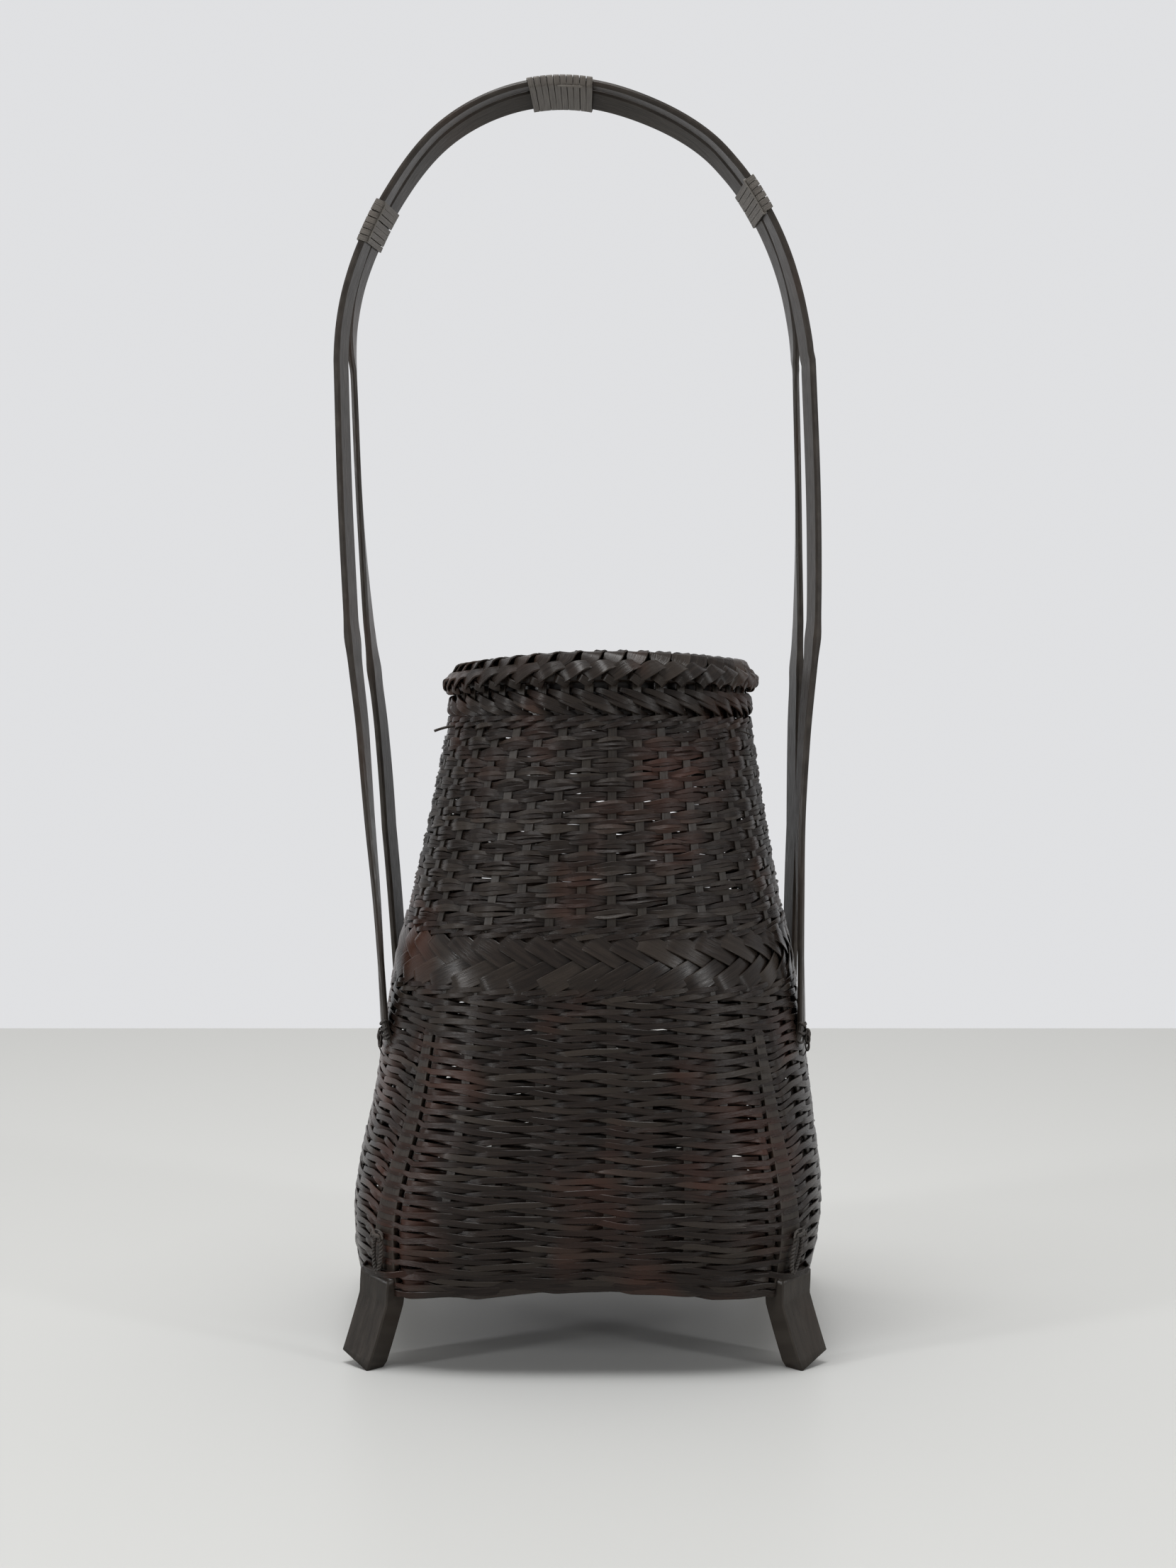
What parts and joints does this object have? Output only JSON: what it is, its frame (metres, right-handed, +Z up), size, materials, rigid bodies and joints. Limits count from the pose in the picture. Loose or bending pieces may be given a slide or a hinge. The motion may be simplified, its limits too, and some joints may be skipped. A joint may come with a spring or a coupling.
{
  "type": "ikebana basket",
  "caption": "Woven bamboo flower basket: a rounded-square body narrowing to a round braided mouth, on splayed corner feet, under a tall arched handle of two bent strips bound with cane.",
  "frame": {"origin": "on the floor, in the middle of the bounding box of the whole basket", "axes": "+Z up, +X to the right of the front view, +Y to the back; the handle arches from left to right"},
  "size_m": [0.191, 0.182, 0.502],
  "materials": {
    "woven_bamboo": "fine split bamboo, stained very dark brown, satin, woven",
    "plaited_bamboo": "wide split bamboo, stained dark reddish brown, satin, plaited",
    "split_bamboo": "bent and carved bamboo strips and staves, stained very dark brown, satin with worn edges",
    "grey_cane": "flat cane binding, faded grey-brown, matt",
    "dark_bast": "twisted fibrous bast, dark brown, matt"
  },
  "bodies": {
    "root": {"lower_wall": "woven_bamboo", "lower_twining": "woven_bamboo", "middle_band": "plaited_bamboo", "upper_twining": "woven_bamboo", "upper_wall": "woven_bamboo", "rim_collar": "plaited_bamboo", "rim_braid": "plaited_bamboo", "base_panel": "plaited_bamboo", "stake_across_01": "split_bamboo", "stake_across_02": "split_bamboo", "stake_across_03": "split_bamboo", "stake_across_04": "split_bamboo", "stake_across_05": "split_bamboo", "stake_across_06": "split_bamboo", "stake_across_07": "split_bamboo", "stake_across_08": "split_bamboo", "stake_across_09": "split_bamboo", "stake_across_10": "split_bamboo", "stake_along_01": "split_bamboo", "stake_along_02": "split_bamboo", "stake_along_03": "split_bamboo", "stake_along_04": "split_bamboo", "stake_along_05": "split_bamboo", "stake_along_06": "split_bamboo", "stake_along_07": "split_bamboo", "stake_along_08": "split_bamboo", "stake_along_09": "split_bamboo", "stake_along_10": "split_bamboo", "leg_front_left": "split_bamboo", "leg_front_right": "split_bamboo", "leg_back_left": "split_bamboo", "leg_back_right": "split_bamboo", "leg_tie_front_left": "dark_bast", "leg_tie_front_right": "dark_bast", "leg_tie_back_left": "dark_bast", "leg_tie_back_right": "dark_bast", "handle_strip_front": "split_bamboo", "handle_strip_back": "split_bamboo", "handle_tie_front_left": "dark_bast", "handle_tie_front_right": "dark_bast", "handle_tie_back_left": "dark_bast", "handle_tie_back_right": "dark_bast", "lashing_top": "grey_cane", "lashing_left": "grey_cane", "lashing_right": "grey_cane"}
  },
  "joints": []
}
